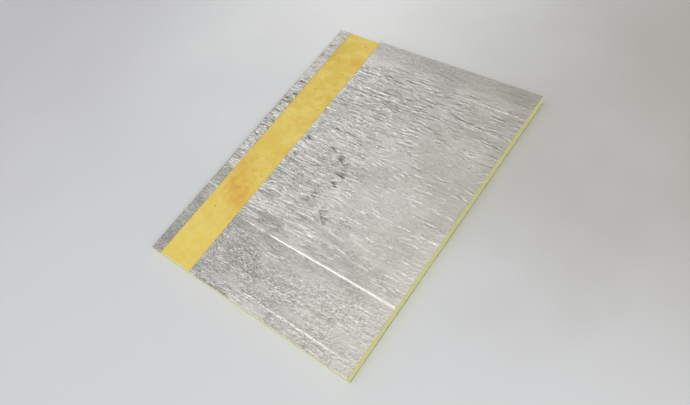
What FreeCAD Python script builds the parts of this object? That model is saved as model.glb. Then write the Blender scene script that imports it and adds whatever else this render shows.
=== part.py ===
import FreeCAD, Part
import math
import os
import Sketcher

# Foil-faced glass wool board, lying flat with its main facing up.
# Origin: middle of the underside. +X runs across the board towards its plain edge,
# +Y runs along the board, +Z points out of the faced side. Millimetres.
#
# The board is three pieces. The glass wool core has a shallow rebate along its left edge.
# The face foil covers the top from the rebate to the plain edge. The back foil covers the
# underside, folds round the left edge and ends in a narrow lip on the rebate's floor.

SIZES = {
    # The whole board, foils included
    "board_width": 600.0,
    "board_length": 775.0,
    "board_thickness": 25.0,
    # Facings
    "face_foil_thickness": 0.2,
    "back_foil_thickness": 0.2,
    # Rebate along the left edge, cut into the wool
    "rebate_width": 140.0,
    "rebate_depth": 5.0,
    # Back foil's lip on the rebate, and the wool's rounded edge under the fold
    "lip_width": 35.0,
    "wool_edge_radius": 4.0,
}

# Lines and levels that the pieces share, each worked out from the sizes above.
# A reach is a distance across the board from its middle, a level a height above its underside.
SHARED = {
    "side_reach": "=board_width / 2",
    "wool_left_reach": "=side_reach - back_foil_thickness",
    "rebate_wall_reach": "=side_reach - rebate_width",
    "lip_end_reach": "=side_reach - lip_width",
    "fold_centre_reach": "=wool_left_reach - wool_edge_radius",
    "fold_outer_radius": "=wool_edge_radius + back_foil_thickness",
    "wool_top_level": "=board_thickness - face_foil_thickness",
    "rebate_floor_level": "=wool_top_level - rebate_depth",
    "lip_top_level": "=rebate_floor_level + back_foil_thickness",
    "lower_fold_level": "=back_foil_thickness + wool_edge_radius",
    "upper_fold_level": "=rebate_floor_level - wool_edge_radius",
}

QUARTER = math.pi / 2


def make_sheet(document):
    """Driving sizes in column B, shared lines and levels below them."""
    sheet = document.addObject("Spreadsheet::Sheet", "Sizes")
    for row, (alias, value) in enumerate({**SIZES, **SHARED}.items(), start=1):
        sheet.set(f"A{row}", alias)
        sheet.set(f"B{row}", str(value))
        sheet.setAlias(f"B{row}", alias)
    document.recompute()
    return sheet


def read_sizes(sheet):
    return {alias: float(sheet.get(alias)) for alias in {**SIZES, **SHARED}}


class Section:
    """A closed outline in the board's cross-section, drawn on the body's own XZ plane.

    Its edges are drawn one after the other, each starting where the last one ended.
    """

    def __init__(self, body, name):
        self.sketch = body.newObject("Sketcher::SketchObject", name)
        plane = next(item for item in body.Origin.OriginFeatures if item.Role == "XZ_Plane")
        self.sketch.AttachmentSupport = (plane, [""])
        self.sketch.MapMode = "FlatFace"
        self.ends = []

    def line(self, start, end):
        edge = Part.LineSegment(FreeCAD.Vector(*start, 0), FreeCAD.Vector(*end, 0))
        index = self.sketch.addGeometry(edge, False)
        direction = "Horizontal" if start[1] == end[1] else "Vertical"
        self.sketch.addConstraint(Sketcher.Constraint(direction, index))
        self.ends.append((index, 1, 2))
        return index

    def quarter_arc(self, centre, radius, first_quarter, backwards=False):
        """A quarter circle from first_quarter times 90 degrees, drawn forwards or backwards."""
        circle = Part.Circle(FreeCAD.Vector(*centre, 0), FreeCAD.Vector(0, 0, 1), radius)
        arc = Part.ArcOfCircle(circle, first_quarter * QUARTER, (first_quarter + 1) * QUARTER)
        index = self.sketch.addGeometry(arc, False)
        self.ends.append((index, 2, 1) if backwards else (index, 1, 2))
        return index

    def close(self, arcs):
        """Join each edge to the next one, smoothly where one of the two is an arc."""
        for this, following in zip(self.ends, self.ends[1:] + self.ends[:1]):
            smooth = this[0] in arcs or following[0] in arcs
            kind = "Tangent" if smooth else "Coincident"
            self.sketch.addConstraint(
                Sketcher.Constraint(kind, this[0], this[2], following[0], following[1])
            )

    def bind(self, kind, name, geometry, value, formula):
        """A named dimension that follows the sheet."""
        self.sketch.addConstraint(Sketcher.Constraint(kind, *geometry, value))
        self.sketch.renameConstraint(self.sketch.ConstraintCount - 1, name)
        self.sketch.setExpression(f"Constraints.{name}", formula)

    def place_x(self, name, edge, point, value, formula):
        """Distance across the board from the middle to a point, right or left of it."""
        if value >= 0:
            self.bind("DistanceX", name, (-1, 1, edge, point), value, formula)
        else:
            self.bind("DistanceX", name, (edge, point, -1, 1), -value, formula)

    def place_z(self, name, edge, point, value, formula):
        """Height of a point above the underside."""
        self.bind("DistanceY", name, (-1, 1, edge, point), value, formula)


def pad_along_board(body, section):
    """Carry the cross-section along the board's whole length, half each way."""
    pad = body.newObject("PartDesign::Pad", f"{body.Name}_pad")
    pad.Profile = section.sketch
    pad.SideType = "Symmetric"
    pad.setExpression("Length", "Sizes.board_length")
    body.Tip = pad
    return body


def new_body(document, name):
    body = document.addObject("PartDesign::Body", name)
    body.Label = name
    return body


def make_core(document, size):
    """Glass wool slab with the rebate, its two left edges rounded under the folded foil."""
    body = new_body(document, "glass_wool_core")
    section = Section(body, "core_section")
    right, left = size["side_reach"], -size["wool_left_reach"]
    fold_x, radius = -size["fold_centre_reach"], size["wool_edge_radius"]
    bottom, top = size["back_foil_thickness"], size["wool_top_level"]
    floor, wall = size["rebate_floor_level"], -size["rebate_wall_reach"]
    low, high = size["lower_fold_level"], size["upper_fold_level"]

    underside = section.line((fold_x, bottom), (right, bottom))
    plain_edge = section.line((right, bottom), (right, top))
    section.line((right, top), (wall, top))
    rebate_wall = section.line((wall, top), (wall, floor))
    section.line((wall, floor), (fold_x, floor))
    upper_round = section.quarter_arc((fold_x, high), radius, 1)
    left_edge = section.line((left, high), (left, low))
    lower_round = section.quarter_arc((fold_x, low), radius, 2)
    section.close({upper_round, lower_round})

    section.place_x("right_side", plain_edge, 1, right, "Sizes.side_reach")
    section.place_x("left_side", left_edge, 1, left, "Sizes.wool_left_reach")
    section.place_x("rebate_wall", rebate_wall, 1, wall, "Sizes.rebate_wall_reach")
    section.place_z("underside", underside, 2, bottom, "Sizes.back_foil_thickness")
    section.place_z("wool_top", plain_edge, 2, top, "Sizes.wool_top_level")
    section.place_z("rebate_floor", rebate_wall, 2, floor, "Sizes.rebate_floor_level")
    for name, arc in (("upper_round", upper_round), ("lower_round", lower_round)):
        section.bind("Radius", name, (arc,), radius, "Sizes.wool_edge_radius")
    return pad_along_board(body, section)


def make_face_foil(document, size):
    """Main facing, from the rebate's wall to the plain edge."""
    body = new_body(document, "face_foil")
    section = Section(body, "face_foil_section")
    right, wall = size["side_reach"], -size["rebate_wall_reach"]
    bottom, top = size["wool_top_level"], size["board_thickness"]

    underside = section.line((wall, bottom), (right, bottom))
    section.line((right, bottom), (right, top))
    upper_side = section.line((right, top), (wall, top))
    section.line((wall, top), (wall, bottom))
    section.close(set())

    section.place_x("rebate_wall", underside, 1, wall, "Sizes.rebate_wall_reach")
    section.place_x("right_side", underside, 2, right, "Sizes.side_reach")
    section.place_z("wool_top", underside, 1, bottom, "Sizes.wool_top_level")
    section.place_z("board_thickness", upper_side, 1, top, "Sizes.board_thickness")
    return pad_along_board(body, section)


def make_back_foil(document, size):
    """Back facing, folded up round the left edge and over onto the rebate as a lip."""
    body = new_body(document, "back_foil")
    section = Section(body, "back_foil_section")
    right, outer_left = size["side_reach"], -size["side_reach"]
    inner_left, fold_x = -size["wool_left_reach"], -size["fold_centre_reach"]
    inner, outer = size["wool_edge_radius"], size["fold_outer_radius"]
    thick, lip_end = size["back_foil_thickness"], -size["lip_end_reach"]
    floor, lip_top = size["rebate_floor_level"], size["lip_top_level"]
    low, high = size["lower_fold_level"], size["upper_fold_level"]

    outer_back = section.line((right, 0), (fold_x, 0))
    outer_low = section.quarter_arc((fold_x, low), outer, 2, backwards=True)
    outer_edge = section.line((outer_left, low), (outer_left, high))
    outer_high = section.quarter_arc((fold_x, high), outer, 1, backwards=True)
    section.line((fold_x, lip_top), (lip_end, lip_top))
    lip_tip = section.line((lip_end, lip_top), (lip_end, floor))
    section.line((lip_end, floor), (fold_x, floor))
    inner_high = section.quarter_arc((fold_x, high), inner, 1)
    inner_edge = section.line((inner_left, high), (inner_left, low))
    inner_low = section.quarter_arc((fold_x, low), inner, 2)
    inner_back = section.line((fold_x, thick), (right, thick))
    section.line((right, thick), (right, 0))
    section.close({outer_low, outer_high, inner_high, inner_low})

    section.place_x("right_side", outer_back, 1, right, "Sizes.side_reach")
    section.place_x("outer_edge", outer_edge, 1, outer_left, "Sizes.side_reach")
    section.place_x("inner_edge", inner_edge, 1, inner_left, "Sizes.wool_left_reach")
    section.place_x("lip_end", lip_tip, 1, lip_end, "Sizes.lip_end_reach")
    section.sketch.addConstraint(Sketcher.Constraint("PointOnObject", outer_back, 1, -1))
    section.place_z("inner_back", inner_back, 2, thick, "Sizes.back_foil_thickness")
    section.place_z("lip_top", lip_tip, 1, lip_top, "Sizes.lip_top_level")
    section.place_z("rebate_floor", lip_tip, 2, floor, "Sizes.rebate_floor_level")
    for name, arc in (("inner_high", inner_high), ("inner_low", inner_low)):
        section.bind("Radius", name, (arc,), inner, "Sizes.wool_edge_radius")
    for name, arc in (("outer_high", outer_high), ("outer_low", outer_low)):
        section.bind("Radius", name, (arc,), outer, "Sizes.fold_outer_radius")
    return pad_along_board(body, section)


def check(document, pieces):
    """Stop unless every object is sound and every piece is one closed solid."""
    for item in document.Objects:
        if "Invalid" in item.State or "Error" in item.State:
            raise RuntimeError(f"{item.Name} did not rebuild: {item.State}")
    for piece in pieces:
        if piece.Shape.isNull() or not piece.Shape.isValid():
            raise RuntimeError(f"{piece.Label} has no valid shape")
        if len(piece.Shape.Solids) != 1:
            raise RuntimeError(f"{piece.Label} is not one solid")


def main():
    document = FreeCAD.newDocument("glass_wool_board")
    sheet = make_sheet(document)
    size = read_sizes(sheet)
    pieces = [
        make_core(document, size),
        make_face_foil(document, size),
        make_back_foil(document, size),
    ]
    document.recompute()
    check(document, pieces)

    os.makedirs("parts", exist_ok=True)
    for piece in pieces:
        piece.Shape.exportStep(f"parts/{piece.Label}.step")
        box = piece.Shape.BoundBox
        print(piece.Label, round(piece.Shape.Volume, 1), box)


main()
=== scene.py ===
import math

import bpy
import numpy as np
from mathutils import Matrix, Vector


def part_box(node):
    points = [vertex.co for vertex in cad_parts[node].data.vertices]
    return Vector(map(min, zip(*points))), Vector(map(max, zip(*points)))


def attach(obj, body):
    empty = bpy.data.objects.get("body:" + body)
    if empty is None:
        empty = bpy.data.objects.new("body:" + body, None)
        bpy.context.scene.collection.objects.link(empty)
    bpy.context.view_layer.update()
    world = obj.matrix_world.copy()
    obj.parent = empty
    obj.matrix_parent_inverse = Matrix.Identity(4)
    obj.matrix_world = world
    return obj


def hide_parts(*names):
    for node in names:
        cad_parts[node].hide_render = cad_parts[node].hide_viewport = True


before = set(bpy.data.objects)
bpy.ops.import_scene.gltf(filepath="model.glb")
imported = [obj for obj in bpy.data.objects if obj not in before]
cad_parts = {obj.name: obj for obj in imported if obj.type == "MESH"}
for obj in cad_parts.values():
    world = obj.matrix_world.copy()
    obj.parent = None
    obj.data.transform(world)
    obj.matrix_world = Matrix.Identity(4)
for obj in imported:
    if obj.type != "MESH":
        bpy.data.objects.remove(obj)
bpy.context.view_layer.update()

# Foil-faced glass wool board lying on a pale floor. Metres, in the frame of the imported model:
# +X runs across the board to its plain edge, +Y to its far end, +Z up out of the foil face.

MM = 0.001

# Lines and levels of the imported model
CORE_LOW, CORE_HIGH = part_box("glass_wool_core")
FACE_LOW, FACE_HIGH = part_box("face_foil")
BACK_LOW, BACK_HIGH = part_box("back_foil")
LEFT, RIGHT = BACK_LOW.x, FACE_HIGH.x
NEAR_END, FAR_END = FACE_LOW.y, FACE_HIGH.y
WIDTH, LENGTH = RIGHT - LEFT, FAR_END - NEAR_END
WALL = FACE_LOW.x
WOOL_TOP, FOIL_TOP, LIP_TOP = CORE_HIGH.z, FACE_HIGH.z, BACK_HIGH.z
FOIL_THICKNESS = CORE_LOW.z
REBATE_FLOOR = LIP_TOP - FOIL_THICKNESS

# Sizes of the part that its boxes don't give: the back foil's lip and the outside of its fold
LIP_WIDTH = 35 * MM
FOLD_RADIUS = 4.2 * MM
LIP_END = LEFT + LIP_WIDTH


# Noise and relief

LATTICE = 256


def ease(part):
    """Way from 0 to 1 across a cell, level at both ends."""
    return part**3 * (part * (part * 6 - 15) + 10)


def gradient_noise(u, v, seed):
    """Smooth noise of about -1 to 1 that changes over one unit of each coordinate."""
    angles = np.random.default_rng(seed).uniform(0.0, 2.0 * math.pi, (LATTICE, LATTICE))
    cell_u, cell_v = np.floor(u).astype(int), np.floor(v).astype(int)
    part_u, part_v = u - cell_u, v - cell_v

    def pull(step_u, step_v):
        angle = angles[(cell_u + step_u) % LATTICE, (cell_v + step_v) % LATTICE]
        return np.cos(angle) * (part_u - step_u) + np.sin(angle) * (part_v - step_v)

    fade_u, fade_v = ease(part_u), ease(part_v)
    near = pull(0, 0) * (1 - fade_u) + pull(1, 0) * fade_u
    far = pull(0, 1) * (1 - fade_u) + pull(1, 1) * fade_u
    return 1.5 * (near * (1 - fade_v) + far * fade_v)


def folds(u, v, long, pitch, lean, seed):
    """Rounded folds with sharp valleys between: long across the board, pitch apart along it."""
    bend = 0.5 * gradient_noise(u / (0.45 * long), v / (1.6 * pitch), seed + 1)
    bend = bend + 0.25 * gradient_noise(u / (0.15 * long + 4 * MM), v / pitch, seed + 2)
    return np.abs(gradient_noise(u / long, (v - lean * u) / pitch + bend, seed)) ** 0.6


# Drift of the crepe's steps: share of a step, then its reach across and along in millimetres
CREPE_DRIFTS = ((1.1, 150, 60), (0.35, 32, 20), (0.14, 11, 9))
CREPE_CLIMB = 0.78


def crepe(u, v, pitch, seed):
    """Shallow wavy steps, one after another along the board, that drop towards its near end."""
    drift = 0.0
    for number, (share, across, along) in enumerate(CREPE_DRIFTS):
        drift = drift + share * gradient_noise(u / (across * MM), v / (along * MM), seed + number)
    part = (v / pitch + drift) % 1.0
    climb, drop = part / CREPE_CLIMB, (1 - part) / (1 - CREPE_CLIMB)
    patches = smooth(gradient_noise(u / (55 * MM), v / (13 * MM), seed + 3), -0.35, 0.25)
    return np.where(part < CREPE_CLIMB, climb, drop) * patches


def graded(value, knots):
    """Amount at each value, on straight lines through (value, amount) knots."""
    values, amounts = zip(*knots)
    return np.interp(value, values, amounts)


def smooth(value, start, end):
    """0 before start, 1 after end, eased between."""
    t = np.clip((value - start) / (end - start), 0.0, 1.0)
    return t * t * (3 - 2 * t)


def ridge(u, v, level, start, end, height, half_width, fade=30 * MM):
    """A straight crease across the board: a low fold, steep on its side towards the near end."""
    within = smooth(u, start - fade, start) * (1 - smooth(u, end, end + fade))
    off = (v - level) / half_width
    near_side = np.clip(1 - off / 2.2, 0, 1)
    far_side = np.exp(-np.abs(off) / 5)
    return height * within * np.where(off > 0, near_side, far_side)


def dent(u, v, centre_u, centre_v, long, wide, depth, angle):
    """A pressed-in fold: a gentle slope down, then a steep wall on the side of the near end."""
    du, dv = u - centre_u, v - centre_v
    along = (du * math.cos(angle) + dv * math.sin(angle)) / long
    across = (dv * math.cos(angle) - du * math.sin(angle)) / wide + 0.25 * np.sin(3 * along)
    slope = np.clip(1 + across / 3.0, 0, 1)
    wall = np.clip(1 - across, 0, 1)
    bowl = np.where(across < 0, slope, wall)
    return -depth * bowl**1.1 * np.clip(1 - along**2, 0, 1) ** 0.7


# Face foil: u runs across from the board's left side, v down from its far end

# In millimetres: level, start, end, height and half width, and then how broken
STRAIGHT_CREASES = [
    (605, 270, 600, 1.25, 1.8, 0.05),
    (605, 140, 290, 0.80, 1.4, 0.35),
    (745, 370, 560, 1.00, 1.6, 0.25),
    (745, 140, 330, 0.35, 1.2, 0.60),
    (453, 140, 330, 0.70, 1.6, 0.40),
    (446, 500, 600, 0.65, 1.4, 0.50),
    (483, 140, 230, 0.60, 1.5, 0.40),
    (521, 140, 240, 0.60, 1.5, 0.40),
    (560, 150, 400, 0.65, 1.5, 0.40),
    (146, 450, 590, 0.55, 1.3, 0.60),
    (78, 460, 585, 0.60, 1.3, 0.80),
    (148, 180, 330, 0.80, 1.3, 0.40),
]
# In millimetres: centre, half length, half width and depth, and then the angle in degrees
DENTS = [
    (280, 364, 31, 6.0, 2.1, 40),
    (298, 398, 18, 5.5, 1.8, 15),
    (300, 424, 12, 5.0, 1.9, 35),
    (274, 472, 14, 5.5, 1.8, 55),
    (328, 508, 31, 6.5, 2.1, 52),
    (215, 289, 110, 3.0, 1.0, 0),
    (156, 340, 18, 4.5, 1.6, 45),
    (158, 398, 12, 4.0, 1.4, 45),
    (238, 343, 20, 4.5, 1.6, 30),
    (262, 492, 16, 4.0, 1.2, 15),
]

# Single wrinkles by region: how many, then the ranges of their place across and along, length,
# height and half width in millimetres, and of their lean in degrees
FACE_WRINKLES = [
    (60, (150, 370), (65, 180), (30, 110), (0.16, 0.36), (2.5, 3.8), (-5, 6)),
    (120, (330, 592), (60, 185), (12, 50), (0.20, 0.48), (2.4, 3.3), (-16, 16)),
    (44, (150, 380), (180, 300), (30, 110), (0.20, 0.48), (2.5, 3.8), (-5, 7)),
    (140, (340, 592), (180, 330), (12, 55), (0.16, 0.42), (2.4, 3.3), (-16, 14)),
    (84, (150, 370), (295, 470), (30, 90), (0.25, 0.54), (2.5, 3.8), (-6, 11)),
    (120, (350, 592), (330, 470), (12, 50), (0.16, 0.42), (2.4, 3.3), (-14, 14)),
    (44, (150, 350), (470, 560), (30, 100), (0.24, 0.48), (2.6, 4.0), (-5, 8)),
    (120, (340, 590), (470, 600), (20, 90), (0.18, 0.42), (2.4, 3.4), (-5, 5)),
    (90, (250, 592), (620, 770), (14, 60), (0.20, 0.46), (2.4, 3.6), (-8, 12)),
]

# Strength of the face foil's relief: (distance from the far end in metres, amount)
LEFT_CRINKLES = (
    (0, 0.12), (0.05, 0.20), (0.09, 0.6), (0.17, 0.6), (0.22, 0.45), (0.29, 0.6),
    (0.36, 1.0), (0.46, 1.0), (0.53, 0.65), (0.56, 0.3), (0.60, 0.3), (0.775, 0.3),
)
RIGHT_CRINKLES = ((0, 0.06), (0.08, 0.16), (0.25, 0.20), (0.45, 0.24), (0.62, 0.3), (0.775, 0.35))
PRESSED_SPOTS = ((0, 0.2), (0.55, 0.25), (0.61, 0.3), (0.63, 1.0), (0.775, 1.0))
CREPE_ALONG = (
    (0, 0.0), (0.05, 0.1), (0.075, 1.0), (0.46, 1.0), (0.50, 0.35), (0.60, 0.3), (0.775, 0.25),
)
# The crepe's height in millimetres: on the left, and by distance from the board's left side
CREPE_LEFT = 0.42
CREPE_RIGHT = ((0.3, 0.42), (0.42, 0.34), (0.5, 0.20), (0.6, 0.14))


def window(places, middle, reach):
    """The run of rising places that lies within reach of a middle."""
    return slice(*np.searchsorted(places, (middle - reach, middle + reach)))


def add_wrinkles(height, u, v, regions, seed):
    """Stamp the single wrinkles on a relief whose columns run across and rows along."""
    places_u, places_v = u[0], v[:, 0]
    stamped = np.zeros_like(height)
    rng = np.random.default_rng(seed)
    for count, across, along, length, tall, half_width, lean in regions:
        for _ in range(count):
            centre_u = rng.uniform(*across) * MM
            centre_v = rng.uniform(*along) * MM
            half_long = 0.5 * rng.uniform(*length) * MM
            rise = rng.uniform(*tall) * MM
            wide = rng.uniform(*half_width) * MM
            slope = math.tan(math.radians(rng.uniform(*lean)))
            bow = rng.uniform(-2, 2) * MM
            sway = rng.uniform(0, 100)
            columns = window(places_u, centre_u, half_long)
            rows = window(places_v, centre_v, 4 * wide + abs(slope) * half_long + 4 * MM)
            du = (u[rows, columns] - centre_u) / half_long
            path = centre_v + slope * du * half_long + bow * du**2
            path = path + 2.2 * MM * gradient_noise(u[rows, columns] / (13 * MM), du * 0 + sway, 302)
            off = (v[rows, columns] - path) / wide
            profile = np.where(off > 0, np.clip(1 - off, 0, 1), np.exp(-np.abs(off) * 1.3))
            fold = rise * profile * np.clip(1 - du**2, 0, 1) ** 0.7
            stamped[rows, columns] = np.maximum(stamped[rows, columns], fold)
    return height + stamped


def straight_crease(u, v, level, start, end, tall, half_width, broken):
    """One long crease, a little wavy and lower in patches where it is broken."""
    row = v * 0 + 100 * level
    waver = 0.8 * MM * gradient_noise(u / (60 * MM), v * 0 + 3.3, 71)
    waver = waver + broken * MM * gradient_noise(u / (16 * MM), row, 72)
    whole = smooth(gradient_noise(u / (13 * MM), row, 73), -0.35, 0.15)
    tall = tall * (1 - broken * (1 - whole))
    return ridge(u, v + waver, level, start, end, tall, half_width)


def pressed_in(u, v):
    """Height of the dents alone, 0 or less."""
    height = np.zeros_like(u)
    for *sizes, angle in DENTS:
        height += dent(u, v, *(size * MM for size in sizes), math.radians(angle))
    return height


def face_relief(u, v):
    """Height of the crinkled face foil over its mean level."""
    right = smooth(u, 300 * MM, 470 * MM)
    strength = graded(v, LEFT_CRINKLES) * (1 - right) + graded(v, RIGHT_CRINKLES) * right
    spots = graded(v, PRESSED_SPOTS)
    steps = graded(v, CREPE_ALONG) * (CREPE_LEFT * (1 - right) + graded(u, CREPE_RIGHT) * right)

    # Long folds, crepe steps, short folds, fine folds on the right, spots and a slow swell
    height = 0.62 * MM * strength * folds(u, v, 95 * MM, 13 * MM, 0.03, 11)
    height += MM * steps * crepe(u, v, 12.5 * MM, 91)
    height += 0.16 * MM * strength * folds(u, v, 30 * MM, 7 * MM, 0.15, 37)
    height += 0.18 * MM * (1 - spots) * right * folds(u, v, 90 * MM, 9 * MM, 0.0, 23)
    height += (0.27 + 0.16 * right) * MM * spots * folds(u, v, 11 * MM, 7 * MM, 0.35, 51)
    height += 0.20 * MM * gradient_noise(u / (170 * MM), v / (120 * MM), 61)
    height = add_wrinkles(height, u, v, FACE_WRINKLES, 301)
    for *sizes, broken in STRAIGHT_CREASES:
        height += straight_crease(u, v, *(size * MM for size in sizes), broken)
    height += pressed_in(u, v)
    return height - height.mean()


# Meshes


SHARP_EDGE = math.radians(60)


def add_object(name, data):
    """An object at the origin of the scene."""
    thing = bpy.data.objects.new(name, data)
    bpy.context.scene.collection.objects.link(thing)
    return thing


def add_piece(name, vertices, faces, material, unfolded=None, dented=None):
    """A mesh object at the origin that rides on the board.

    A foil also keeps each point's place as if the foil were spread out flat, for its pattern,
    and how deep it is dented there, from 0 to 1.
    """
    mesh = bpy.data.meshes.new(name)
    mesh.from_pydata([tuple(p) for p in vertices], [], faces)
    mesh.validate()
    if unfolded is not None:
        attribute = mesh.attributes.new("unfolded", "FLOAT_VECTOR", "POINT")
        attribute.data.foreach_set("vector", np.asarray(unfolded, np.float32).ravel())
    if dented is not None:
        attribute = mesh.attributes.new("dented", "FLOAT", "POINT")
        attribute.data.foreach_set("value", np.asarray(dented, np.float32))
    mesh.materials.append(material)
    mesh.polygons.foreach_set("use_smooth", [True] * len(mesh.polygons))
    mesh.set_sharp_from_angle(angle=SHARP_EDGE)
    mesh.update()
    piece = add_object(name, mesh)
    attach(piece, "root")
    return piece


def grid_faces(rows, columns, start=0, flip=False):
    """Quads over a grid of points stored row by row."""
    faces = []
    for r in range(rows - 1):
        for c in range(columns - 1):
            a = start + r * columns + c
            quad = (a, a + 1, a + columns + 1, a + columns)
            faces.append(quad[::-1] if flip else quad)
    return faces


def rim_indices(rows, columns):
    """The grid's border points, once round."""
    first = list(range(columns))
    right = [r * columns + columns - 1 for r in range(1, rows)]
    last = [(rows - 1) * columns + c for c in range(columns - 2, -1, -1)]
    left = [r * columns for r in range(rows - 2, 0, -1)]
    return first + right + last + left


FACE_COLUMNS, FACE_ROWS = 158, 600
MOST_ABOVE = 0.7 * MM
LOWEST_FACE = WOOL_TOP - 2.8 * MM
DEEPEST_SHADE = 1.5 * MM


def face_foil_top():
    """The face foil's upper side as rows of points, and how deep each is dented from 0 to 1."""
    u, v = np.meshgrid(
        np.linspace(WALL - LEFT, WIDTH, FACE_COLUMNS), np.linspace(0.0, LENGTH, FACE_ROWS)
    )
    border = np.minimum.reduce([u - (WALL - LEFT), WIDTH - u, v, LENGTH - v])
    rolled_down = 0.12 * MM * np.exp(-border / (1.6 * MM))
    relief = face_relief(u, v) * smooth(border, -1 * MM, 3 * MM) - rolled_down

    ragged = 0.7 * MM * (1 - smooth(border, 0.0, 4 * MM))
    x = LEFT + u + ragged * gradient_noise(u / (9 * MM), v / (9 * MM), 81)
    y = FAR_END - v + ragged * gradient_noise(u / (9 * MM), v / (9 * MM), 82)
    x = np.clip(x, WALL - 0.5 * MM, RIGHT)
    y = np.clip(y, NEAR_END, FAR_END)
    z = np.clip(FOIL_TOP - 0.25 * MM + relief, LOWEST_FACE, FOIL_TOP + MOST_ABOVE)
    dented = np.clip(-pressed_in(u, v) / DEEPEST_SHADE, 0.0, 1.0)
    return np.stack([x, y, z], -1).reshape(-1, 3), dented.ravel()


def make_face_foil(material):
    """Crinkled sheet over the wool, from the rebate's wall to the plain edge.

    Its hidden underside is one plain panel, set back from the rim.
    """
    top, dents = face_foil_top()
    rim = rim_indices(FACE_ROWS, FACE_COLUMNS)
    under = top[rim] - (0, 0, FOIL_THICKNESS)
    panel = np.clip(under, under.min(0) + 3 * MM, under.max(0) - 3 * MM)
    panel[:, 2] = WOOL_TOP - 3.1 * MM
    count, around = len(top), len(rim)
    faces = grid_faces(FACE_ROWS, FACE_COLUMNS, flip=True)
    for i, here in enumerate(rim):
        following = (i + 1) % around
        first, second = count + i, count + following
        faces.append((here, rim[following], second, first))
        faces.append((first, second, second + around, first + around))
    faces.append(tuple(range(count + around, count + 2 * around)))
    vertices = np.vstack([top, under, panel])
    unfolded = np.column_stack([vertices[:, :2], np.full(len(vertices), FOIL_TOP)])
    dented = np.concatenate([dents, np.zeros(2 * around)])
    piece = add_piece("face_foil_crinkled", vertices, faces, material, unfolded, dented)
    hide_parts("face_foil")
    return piece


def fold_path(cells_lip, cells_bend, cells_edge, cells_back):
    """The back foil's section from the lip's end to the plain edge: points and outward normals.

    Each row is x, z, normal x, normal z and the distance travelled from the lip's end.
    """
    fold_x = LEFT + FOLD_RADIUS
    upper, lower = LIP_TOP - FOLD_RADIUS, FOLD_RADIUS
    rows = []

    def add_bend(first_degree, centre_z):
        for degrees in np.linspace(first_degree, first_degree + 90, cells_bend + 1)[:-1]:
            c, s = math.cos(math.radians(degrees)), math.sin(math.radians(degrees))
            rows.append((fold_x + FOLD_RADIUS * c, centre_z + FOLD_RADIUS * s, c, s))

    for x in np.linspace(LIP_END, fold_x, cells_lip + 1)[:-1]:
        rows.append((x, LIP_TOP, 0.0, 1.0))
    add_bend(90, upper)
    for z in np.linspace(upper, lower, cells_edge + 1)[:-1]:
        rows.append((LEFT, z, -1.0, 0.0))
    add_bend(180, lower)
    for x in np.linspace(fold_x, RIGHT, cells_back + 1):
        rows.append((x, 0.0, 0.0, -1.0))
    path = np.array(rows)
    travelled = np.hypot(*np.diff(path[:, :2], axis=0).T)
    return np.column_stack([path, np.concatenate([[0.0], np.cumsum(travelled)])])


BACK_ROWS = 600

# As FACE_WRINKLES, with the distance round from the lip's end as the place across
LIP_WRINKLES = [
    (20, (2, 38), (20, 180), (16, 44), (0.30, 0.60), (3.0, 5.0), (-14, 14)),
    (16, (0, 42), (180, 400), (24, 60), (0.50, 0.90), (3.0, 4.8), (-12, 12)),
    (10, (2, 38), (400, 520), (12, 50), (0.25, 0.50), (2.6, 4.2), (-10, 10)),
    (5, (10, 30), (540, 640), (40, 60), (0.20, 0.40), (1.8, 2.6), (-3, 3)),
]
# As LEFT_CRINKLES, for the lip
LIP_CRINKLES = ((0, 0.5), (0.12, 0.6), (0.25, 1.0), (0.40, 1.0), (0.50, 0.16), (0.775, 0.09))


def lip_relief(path, v):
    """Tight wrinkles across the lip and fold, calmer towards the near end."""
    strength = graded(v, LIP_CRINKLES)
    height = 1.20 * MM * strength * folds(path, v, 70 * MM, 13 * MM, 0.1, 111)
    height += 0.40 * MM * strength * folds(path, v, 20 * MM, 7 * MM, -0.35, 123)
    height += ridge(path, v, 566 * MM, 0, 46 * MM, 1.0 * MM, 1.1 * MM, 6 * MM)
    return add_wrinkles(height, path, v, LIP_WRINKLES, 401)


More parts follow.
